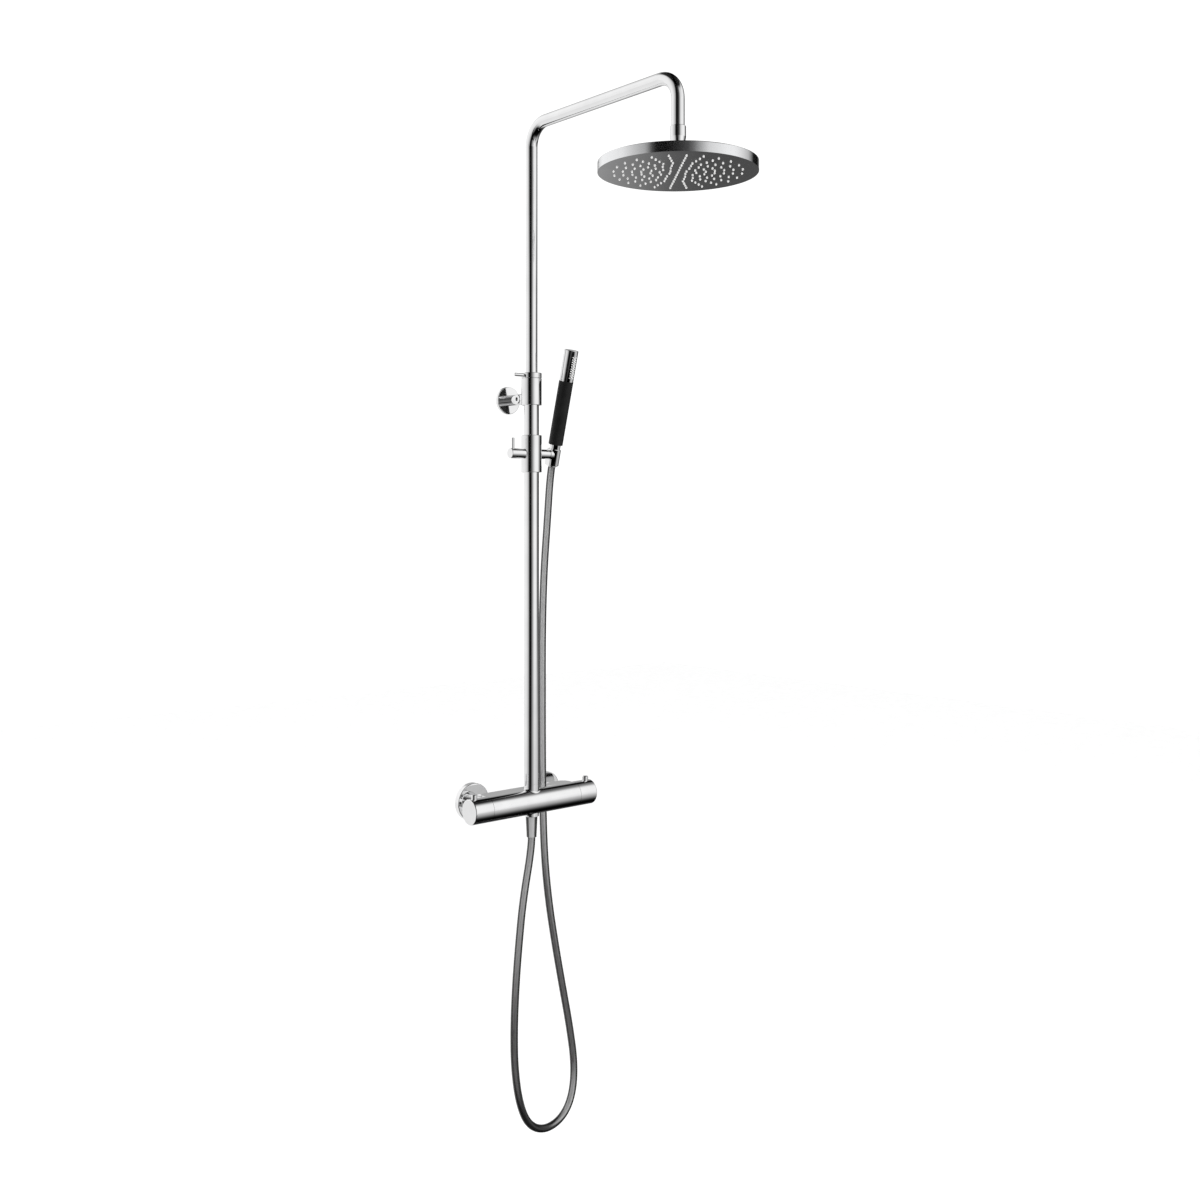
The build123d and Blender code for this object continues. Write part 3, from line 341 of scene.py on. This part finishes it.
def brushed_rim(name):
    """Chrome with fine marks that run round the rim of the rain head."""
    material, tree, surface = shader(name, Metallic=1.0)
    parts = tree.node("ShaderNodeSeparateXYZ")
    tree.link(tree.coordinates(), parts.inputs[0])
    x, y, z = parts.outputs
    from_axis = tree.math("SUBTRACT", y, HEAD_Y)
    angle = tree.math("ARCTAN2", x, from_axis)
    radius = tree.math("SQRT", tree.math("ADD", tree.math("MULTIPLY", x, x),
                                         tree.math("MULTIPLY", from_axis, from_axis)))
    marks = tree.node("ShaderNodeCombineXYZ")
    tree.link(tree.math("MULTIPLY", angle, 0.02), marks.inputs[0])
    tree.link(radius, marks.inputs[1])
    tree.link(z, marks.inputs[2])
    streaks = tree.noise(marks.outputs[0], 2600.0, 3.0, 0.6)
    tree.link(tree.ramp(streaks, [(0.3, (0.82, 0.83, 0.84)), (0.7, (0.93, 0.93, 0.94))]),
              surface.inputs["Base Color"])
    tree.link(tree.spread(streaks, 0.3, 0.7, 0.06, 0.12), surface.inputs["Roughness"])
    tree.link(tree.bump(streaks, 0.00002, 0.35), surface.inputs["Normal"])
    return material


def face_plate(name):
    """Satin metal that mirrors the nozzles softly."""
    material, tree, surface = shader(name, Metallic=1.0)
    place = tree.coordinates()
    grain = tree.noise(place, 1400.0, 2.0)
    cloud = tree.noise(place, 20.0, 2.0)
    tree.link(tree.ramp(cloud, [(0.3, (0.80, 0.80, 0.81)), (0.7, (0.86, 0.86, 0.87))]),
              surface.inputs["Base Color"])
    tree.link(tree.spread(grain, 0.3, 0.7, 0.06, 0.12), surface.inputs["Roughness"])
    tree.link(tree.bump(grain, 0.00001, 0.2), surface.inputs["Normal"])
    return material


def silicone(name):
    """Pale silicone with a fine grain."""
    material, tree, surface = shader(name)
    grain = tree.noise(tree.coordinates(), 700.0, 3.0)
    tree.link(tree.ramp(grain, [(0.3, (0.88, 0.88, 0.87)), (0.7, (0.97, 0.97, 0.96))]),
              surface.inputs["Base Color"])
    tree.link(tree.spread(grain, 0.3, 0.7, 0.38, 0.5), surface.inputs["Roughness"])
    tree.link(tree.bump(grain, 0.00004, 0.4), surface.inputs["Normal"])
    return material


def grip_rubber(name):
    """Matt black rubber with a fine even grain."""
    material, tree, surface = shader(name, Specular_IOR_Level=0.3)
    place = tree.coordinates()
    cells = tree.node("ShaderNodeTexVoronoi")
    tree.link(place, cells.inputs["Vector"])
    cells.inputs["Scale"].default_value = 1500.0
    cloud = tree.noise(place, 60.0, 3.0)
    tree.link(tree.ramp(cloud, [(0.3, (0.006, 0.006, 0.006)), (0.7, (0.011, 0.011, 0.011))]),
              surface.inputs["Base Color"])
    tree.link(tree.spread(cloud, 0.3, 0.7, 0.42, 0.52), surface.inputs["Roughness"])
    tree.link(tree.bump(cells.outputs["Distance"], 0.00008, 0.5), surface.inputs["Normal"])
    return material


def silvery(name, metallic, brightness):
    """A silver core with fine lengthwise strands, under a clear wall that turns dark where it is
    seen aslant."""
    material = bpy.data.materials.new(name)
    material.use_nodes = True
    tree = Tree(material.node_tree)
    cloud = tree.noise(tree.coordinates(), 160.0, 3.0)
    core = tree.node("ShaderNodeBsdfPrincipled")
    core.inputs["Metallic"].default_value = metallic
    core.inputs["Anisotropic"].default_value = 1.0
    tree.link(tree.ramp(cloud, [(0.3, brightness * 0.94), (0.7, brightness)]),
              core.inputs["Base Color"])
    tree.link(tree.spread(cloud, 0.3, 0.7, 0.38, 0.44), core.inputs["Roughness"])
    across = tree.node("ShaderNodeVectorMath", operation="CROSS_PRODUCT")
    tree.link(tree.node("ShaderNodeNewGeometry").outputs["Normal"], across.inputs[0])
    across.inputs[1].default_value = (0.0, 0.0, 1.0)
    tree.link(across.outputs[0], core.inputs["Tangent"])
    wall = tree.node("ShaderNodeBsdfPrincipled")
    wall.inputs["Base Color"].default_value = (0.01, 0.01, 0.01, 1.0)
    wall.inputs["Roughness"].default_value = 0.04
    wall.inputs["IOR"].default_value = 1.6
    facing = tree.node("ShaderNodeLayerWeight")
    facing.inputs["Blend"].default_value = 0.5
    gloss = tree.node("ShaderNodeMixShader")
    tree.link(tree.spread(facing.outputs["Facing"], 0.10, 0.26), gloss.inputs[0])
    tree.link(core.outputs[0], gloss.inputs[1])
    tree.link(wall.outputs[0], gloss.inputs[2])
    output = tree.node("ShaderNodeOutputMaterial")
    tree.link(gloss.outputs[0], output.inputs["Surface"])
    return material


def hose_skin(name):
    return silvery(name, 1.0, 0.99)


def nut_skin(name):
    return silvery(name, 0.45, 0.66)


def turned_metal(name, dark, pale, rough):
    """Bare metal as it comes from the lathe."""
    material, tree, surface = shader(name, Metallic=1.0)
    place = tree.coordinates()
    cloud = tree.noise(place, 220.0, 4.0)
    lines = tree.noise(tree.stretch(place, (0.1, 1.0, 0.1)), 2500.0, 2.0)
    tree.link(tree.ramp(cloud, [(0.3, dark), (0.7, pale)]), surface.inputs["Base Color"])
    tree.link(tree.spread(lines, 0.3, 0.7, rough - 0.06, rough + 0.06), surface.inputs["Roughness"])
    tree.link(tree.bump(lines, 0.00002, 0.4), surface.inputs["Normal"])
    return material


def moulded(name, dark, pale, rough, grain_scale):
    """Moulded plastic, rubber or fired ceramic with a fine grain."""
    material, tree, surface = shader(name)
    grain = tree.noise(tree.coordinates(), grain_scale, 3.0)
    tree.link(tree.ramp(grain, [(0.3, dark), (0.7, pale)]), surface.inputs["Base Color"])
    tree.link(tree.spread(grain, 0.3, 0.7, rough - 0.05, rough + 0.05), surface.inputs["Roughness"])
    tree.link(tree.bump(grain, 0.00005, 0.3), surface.inputs["Normal"])
    return material


materials = {
    "chrome": chrome("chrome"),
    "brushed_rim": brushed_rim("brushed_rim"),
    "face_plate": face_plate("face_plate"),
    "silicone": silicone("silicone"),
    "grip_rubber": grip_rubber("grip_rubber"),
    "hose_skin": hose_skin("hose_skin"),
    "nut_skin": nut_skin("nut_skin"),
    "brass": turned_metal("brass", (0.62, 0.48, 0.22), (0.76, 0.62, 0.34), 0.28),
    "steel": turned_metal("steel", (0.50, 0.50, 0.50), (0.66, 0.66, 0.66), 0.32),
    "nylon": moulded("nylon", (0.78, 0.78, 0.74), (0.88, 0.88, 0.85), 0.45, 500.0),
    "seal_rubber": moulded("seal_rubber", (0.02, 0.02, 0.02), (0.05, 0.05, 0.05), 0.6, 900.0),
    "ceramic": moulded("ceramic", (0.86, 0.86, 0.84), (0.94, 0.94, 0.92), 0.3, 1200.0),
}

for subpart in frame["record"]["subparts"]:
    for material_slot in frame["nodes"][subpart["node"]].material_slots:
        material_slot.material = materials[subpart["material_slot"]]


# ---- meshes from rings --------------------------------------------------------------------
def skin(rings, loop=False):
    """Faces between rings of points, closed at both ends. A loop joins the last ring to the first
    instead."""
    count = len(rings[0])
    vertices = [point for ring in rings for point in ring]
    faces = []
    pairs = len(rings) if loop else len(rings) - 1
    for number in range(pairs):
        here = number * count
        there = ((number + 1) % len(rings)) * count
        for side in range(count):
            after = (side + 1) % count
            faces.append((here + side, here + after, there + after, there + side))
    if not loop:
        faces.append(tuple(reversed(range(count))))
        faces.append(tuple(range((len(rings) - 1) * count, len(rings) * count)))
    return vertices, faces


def axes_for(direction):
    """Two unit vectors square to a direction and to each other."""
    direction = Vector(direction).normalized()
    helper = Vector((0, 0, 1)) if abs(direction.z) < 0.9 else Vector((1, 0, 0))
    first = direction.cross(helper).normalized()
    return first, direction.cross(first)


def turned(profile, origin, direction, segments, loop=False):
    """A turned shape: (distance along the axis, radius) pairs, where the radius may be a
    function of the angle in turns."""
    origin = Vector(origin)
    direction = Vector(direction).normalized()
    first, second = axes_for(direction)
    rings = []
    for distance, radius in profile:
        ring = []
        for number in range(segments):
            share = number / segments
            angle = 2 * math.pi * share
            reach = radius(share) if callable(radius) else radius
            out = first * math.cos(angle) + second * math.sin(angle)
            ring.append(origin + direction * distance + out * reach)
        rings.append(ring)
    return skin(rings, loop)


def thread(start, end, pitch, major, depth, steps=8):
    """Profile points of a screw thread from start to end, whose crest runs in a helix."""
    points = []
    count = round(abs(end - start) / pitch * steps)
    for number in range(count + 1):
        distance = start + (end - start) * number / count
        near_end = min(number, count - number) / steps
        run_out = min(1.0, near_end)

        def radius(share, distance=distance, run_out=run_out):
            phase = (distance / pitch - share) % 1.0
            groove = 1.0 - abs(2.0 * phase - 1.0)
            return major - depth * min(1.0, 1.25 * groove) * run_out

        points.append((distance, radius))
    return points


def gather(parts):
    """Several (vertices, faces) pairs as one."""
    vertices = []
    faces = []
    for part_vertices, part_faces in parts:
        shift = len(vertices)
        vertices.extend(part_vertices)
        faces.extend(tuple(corner + shift for corner in face) for face in part_faces)
    return vertices, faces


SHARP_ANGLE = math.radians(38)


def make_piece(name, shape, slot):
    """A smooth mesh object with one of the record's finishes."""
    vertices, faces = shape
    mesh = bpy.data.meshes.new(name)
    mesh.from_pydata(vertices, [], faces)
    mesh.validate()
    mesh.shade_smooth()
    mesh.set_sharp_from_angle(angle=SHARP_ANGLE)
    mesh.materials.append(materials[slot])
    piece = bpy.data.objects.new(name, mesh)
    scene.collection.objects.link(piece)
    return piece


# ---- shower hose --------------------------------------------------------------------------
HOSE_R = 6.25 * MM
RIB_PITCH = 2.6 * MM
RIB_DEPTH = 0.03 * MM
HOSE_SEGMENTS = 20
ROUTE_STEPS = 160
HANDSET_UP = Vector((0.0, -math.sin(HANDSET_LEAN), math.cos(HANDSET_LEAN)))
HANDSET_OUT = Vector((0.0, -math.cos(HANDSET_LEAN), -math.sin(HANDSET_LEAN)))


def handset_point(distance):
    """A point at a distance in metres along the leaning axis of the hand shower."""
    return Vector((HOLDER_X, HANDSET_Y, SLIDER_Z)) + HANDSET_UP * distance


HOSE_ROUTE = [
    (0.0, -0.068, -0.058),
    (0.0, -0.068, -0.076),
    (-0.017, -0.0675, -0.158),
    (-0.025, -0.067, -0.225),
    (-0.031, -0.066, -0.295),
    (-0.0335, -0.0645, -0.365),
    (-0.0315, -0.063, -0.432),
    (-0.020, -0.061, -0.496),
    (0.002, -0.058, -0.539),
    (0.038, -0.055, -0.558),
    (0.077, -0.052, -0.551),
    (0.102, -0.049, -0.522),
    (0.110, -0.046, -0.470),
    (0.1005, -0.043, -0.400),
    (0.0865, -0.041, -0.330),
    (0.0725, -0.0385, -0.255),
    (0.0605, -0.036, -0.180),
    (0.0532, -0.0342, -0.105),
    (0.051, -0.0328, -0.020),
    (0.0502, -0.0323, 0.075),
    (0.0496, -0.0328, 0.185),
    (0.0487, -0.0346, 0.290),
    (0.0482, -0.0396, 0.380),
    (0.0479, -0.0483, 0.455),
    handset_point(-0.038),
    handset_point(-0.020),
]


def spline_line(route):
    """The points of the smooth spline that has the route's points as its control points."""
    curve = bpy.data.curves.new("route", "CURVE")
    curve.dimensions = "3D"
    spline = curve.splines.new("NURBS")
    spline.points.add(len(route) - 1)
    for point, place in zip(spline.points, route):
        point.co = (*place, 1.0)
    spline.order_u = 3
    spline.use_endpoint_u = True
    spline.resolution_u = ROUTE_STEPS
    curve.resolution_u = ROUTE_STEPS
    holder = bpy.data.objects.new("route", curve)
    scene.collection.objects.link(holder)
    mesh = bpy.data.meshes.new_from_object(holder)
    line = [vertex.co.copy() for vertex in mesh.vertices]
    bpy.data.objects.remove(holder)
    return line


def hose_rings(line):
    """One ring of points at each point of the line, with the hose's fine ribs as a helix."""
    tangents = []
    for number in range(len(line)):
        before = line[max(number - 1, 0)]
        after = line[min(number + 1, len(line) - 1)]
        tangents.append((after - before).normalized())
    across, _ = axes_for(tangents[0])
    rings = []
    travelled = 0.0
    for number, (place, tangent) in enumerate(zip(line, tangents)):
        if number:
            travelled += (place - line[number - 1]).length
        across = (across - tangent * across.dot(tangent)).normalized()
        upward = tangent.cross(across)
        ring = []
        for segment in range(HOSE_SEGMENTS):
            share = segment / HOSE_SEGMENTS
            angle = 2 * math.pi * share
            wave = math.cos(2 * math.pi * (travelled / RIB_PITCH - share))
            radius = HOSE_R - RIB_DEPTH * (0.5 - 0.5 * wave)
            ring.append(place + (across * math.cos(angle) + upward * math.sin(angle)) * radius)
        rings.append(ring)
    return rings


hose_line = spline_line(HOSE_ROUTE)
all_rings = hose_rings(hose_line)
lowest = min(range(len(hose_line)), key=lambda number: hose_line[number].z)


def first_above(height):
    """The number of the first point on the rising side at or above a height."""
    for number in range(lowest, len(hose_line)):
        if hose_line[number].z >= height:
            return number
    return len(hose_line) - 1


# The heights on the rising side where one piece of the hose ends and the next begins.
CUT_HEIGHTS = (-0.52, 0.326, 0.402, 0.478)
cuts = [0, *(first_above(height) for height in CUT_HEIGHTS), len(hose_line) - 1]
# Each piece with the body at its start and, if another, the body at its end; only a piece with no
# second body is attached to its body.
HOSE_PIECES = [
    ("hose_loop", "column", None),
    ("hose_rise", "column", "slider"),
    ("hose_beside_slider", "slider", "slider_collar"),
    ("hose_below_holder", "slider_collar", "holder"),
    ("hose_end_piece", "holder", "hose_end"),
]

for (name, body, next_body), first, last in zip(HOSE_PIECES, cuts, cuts[1:]):
    stretch = make_piece(name, skin(all_rings[first:last + 1]), "hose_skin")
    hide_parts("shower_hose")
    if next_body:
        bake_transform(stretch)
    else:
        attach(stretch, body)


# ---- nozzles of the rain head -------------------------------------------------------------
NOZZLE_RINGS = 7
NOZZLE_PITCH = 13.4 * MM
NOZZLE_MAX_PER_RING = 24
NOZZLE_PHASE = 53.4            # degrees that every ring is turned
NOZZLE_SEGMENTS = 14
MAT_R = NOZZLE_RINGS * NOZZLE_PITCH + 8 * MM
MAT_THICKNESS = 1.5 * MM
MAT_EDGE = 0.3 * MM            # the bevel at the mat's rim
MAT_INSET = 1.55 * MM          # how far the mat lies above the underside of the face plate
MAT_SEGMENTS = 96
# (distance up from the nozzle's tip, radius), from the bottom of its hole to its foot
NOZZLE_PROFILE = [
    (1.2, 0.35), (0.25, 0.55), (0.0, 0.75), (0.0, 1.0), (0.12, 1.2), (0.4, 1.32), (1.1, 1.42),
    (1.4, 1.62), (1.6, 1.72), (3.2, 1.74),
]


def nozzle_places():
    """The middle of each nozzle: one on the axis and the rings round it."""
    places = [(HEAD_X, HEAD_Y)]
    for ring in range(1, NOZZLE_RINGS + 1):
        count = min(6 * ring, NOZZLE_MAX_PER_RING)
        for number in range(count):
            angle = math.radians(NOZZLE_PHASE + 360 * number / count)
            radius = ring * NOZZLE_PITCH
            places.append((HEAD_X + radius * math.cos(angle), HEAD_Y + radius * math.sin(angle)))
    return places


def make_nozzles():
    """The nozzles of the rain head on their mat."""
    low_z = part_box("nozzle_mat")[0].z
    profile = [(distance * MM, radius * MM) for distance, radius in NOZZLE_PROFILE]
    up = (0, 0, 1)
    shapes = [turned(profile, (x, y, low_z), up, NOZZLE_SEGMENTS) for x, y in nozzle_places()]
    mat_place = (HEAD_X, HEAD_Y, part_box("head_face_plate")[0].z + MAT_INSET)
    mat_profile = [
        (0.0, MAT_R - MAT_EDGE), (MAT_EDGE, MAT_R), (MAT_THICKNESS - MAT_EDGE, MAT_R),
        (MAT_THICKNESS, MAT_R - MAT_EDGE),
    ]
    mat = turned(mat_profile, mat_place, up, MAT_SEGMENTS)
    piece = make_piece("rain_nozzles", gather([*shapes, mat]), "silicone")
    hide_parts("nozzle_mat")
    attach(piece, "rain_head")


make_nozzles()

# ---- nozzles of the hand shower -----------------------------------------------------------
WINDOW_BOTTOM = 0.1289         # along the hand shower's axis
WINDOW_TOP = 0.1709
WINDOW_MARGIN = 3 * MM         # from an end of the window to the nearest nozzle
# (distance out from the tube, radius), from the nozzle's foot into its hole
HAND_NOZZLE_PROFILE = [(0.0, 1.0), (0.35, 0.95), (0.6, 0.75), (0.68, 0.45), (0.3, 0.28)]
COLUMN_ANGLES = (-15.0, 0.0, 15.0)
HAND_NOZZLE_ROWS = 10
HANDSET_R = 11.8 * MM


def make_hand_nozzles():
    """Three rows of nozzles, of which the middle one is half a pitch up and one nozzle short."""
    profile = [(distance * MM, radius * MM) for distance, radius in HAND_NOZZLE_PROFILE]
    pitch = (WINDOW_TOP - WINDOW_BOTTOM - 2 * WINDOW_MARGIN) / (HAND_NOZZLE_ROWS - 0.5)
    shapes = []
    for column, degrees in enumerate(COLUMN_ANGLES):
        angle = math.radians(degrees)
        out = HANDSET_OUT * math.cos(angle) + Vector((1, 0, 0)) * math.sin(angle)
        shift = 0.5 if column % 2 else 0.0
        for row in range(HAND_NOZZLE_ROWS - column % 2):
            middle = handset_point(WINDOW_BOTTOM + WINDOW_MARGIN + (row + shift) * pitch)
            shapes.append(turned(profile, middle + out * HANDSET_R, out, 10))
    piece = make_piece("hand_nozzles", gather(shapes), "silicone")
    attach(piece, "hand_shower")


make_hand_nozzles()

# ---- threaded fittings in the wall --------------------------------------------------------
G_HALF_R = 10.48 * MM
G_HALF_PITCH = 1.814 * MM
G_HALF_DEPTH = 1.0 * MM
UNION_BORE_R = 7.0 * MM
UNION_COLLAR_R = 11.5 * MM     # the round part right in front of the wall
UNION_COLLAR_LENGTH = 14 * MM
UNION_NECK_R = 10.2 * MM
UNION_SHOULDER_LENGTH = 3 * MM
SCREW_HALF_SPACING = 12 * MM
SCREW_R = 2.25 * MM
SCREW_PITCH = 1.8 * MM
SCREW_THREAD_DEPTH = 0.65 * MM
# (distance from the top of the head, radius)
SCREW_HEAD_PROFILE = [(0.0, 0.2), (0.0, 2.9), (0.7, 2.4), (0.8, 1.9)]


def make_unions():
    """The two wall unions with their pipe threads."""
    low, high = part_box("wall_unions")
    shoulder_r = high.z
    shoulder_y = low.y + UNION_SHOULDER_LENGTH
    shapes = []
    for x in (-INLET_HALF_SPACING, INLET_HALF_SPACING):
        profile = [(high.y, UNION_BORE_R), (high.y, G_HALF_R - G_HALF_DEPTH)]
        profile += thread(high.y, 0.0006, G_HALF_PITCH, G_HALF_R, G_HALF_DEPTH)
        profile += [(0.0005, UNION_COLLAR_R), (-UNION_COLLAR_LENGTH, UNION_COLLAR_R)]
        profile += [(-UNION_COLLAR_LENGTH, UNION_NECK_R), (shoulder_y, UNION_NECK_R)]
        profile += [(shoulder_y, shoulder_r)]
        profile += [(low.y, shoulder_r), (low.y, UNION_BORE_R)]
        shapes.append(turned(profile, (x, 0, 0), (0, 1, 0), 64, loop=True))
    piece = make_piece("threaded_unions", gather(shapes), "chrome")
    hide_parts("wall_unions")
    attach(piece, "column")


def make_wood_screws():
    """The two screws of the wall bracket with their wood threads."""
    low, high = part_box("bracket_screws")
    head_y = low.y
    shapes = []
    for up in (-SCREW_HALF_SPACING, SCREW_HALF_SPACING):
        profile = [(head_y + depth * MM, radius * MM) for depth, radius in SCREW_HEAD_PROFILE]
        profile += [(0.0006, 1.6 * MM)]
        profile += thread(0.0008, high.y - 3 * MM, SCREW_PITCH, SCREW_R, SCREW_THREAD_DEPTH)
        profile += [(high.y - 2.8 * MM, 1.5 * MM), (high.y, 0.1 * MM)]
        shapes.append(turned(profile, (0, 0, BRACKET_Z + up), (0, 1, 0), 32))
    piece = make_piece("wood_screws", gather(shapes), "steel")
    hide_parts("bracket_screws")
    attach(piece, "column")


make_unions()
make_wood_screws()


# ---- floor --------------------------------------------------------------------------------
FLOOR_DROP = 0.19              # how far the floor lies below the lowest point of the hose
FLOOR_HALF = 6.0
FLOOR_STEPS = 8


def make_floor():
    """A plain pale floor of a few large squares."""
    height = cad_low.z - FLOOR_DROP
    steps = FLOOR_STEPS
    rows = [-FLOOR_HALF + 2 * FLOOR_HALF * number / steps for number in range(steps + 1)]
    vertices = [(x, y, height) for y in rows for x in rows]
    faces = []
    for row in range(steps):
        for column in range(steps):
            corner = row * (steps + 1) + column
            faces.append((corner, corner + 1, corner + steps + 2, corner + steps + 1))
    mesh = bpy.data.meshes.new("floor")
    mesh.from_pydata(vertices, [], faces)
    mesh.materials.append(moulded("floor", (0.92, 0.92, 0.92), (0.95, 0.95, 0.95), 0.8, 30.0))
    floor = bpy.data.objects.new("floor", mesh)
    floor.visible_glossy = False
    scene.collection.objects.link(floor)


make_floor()
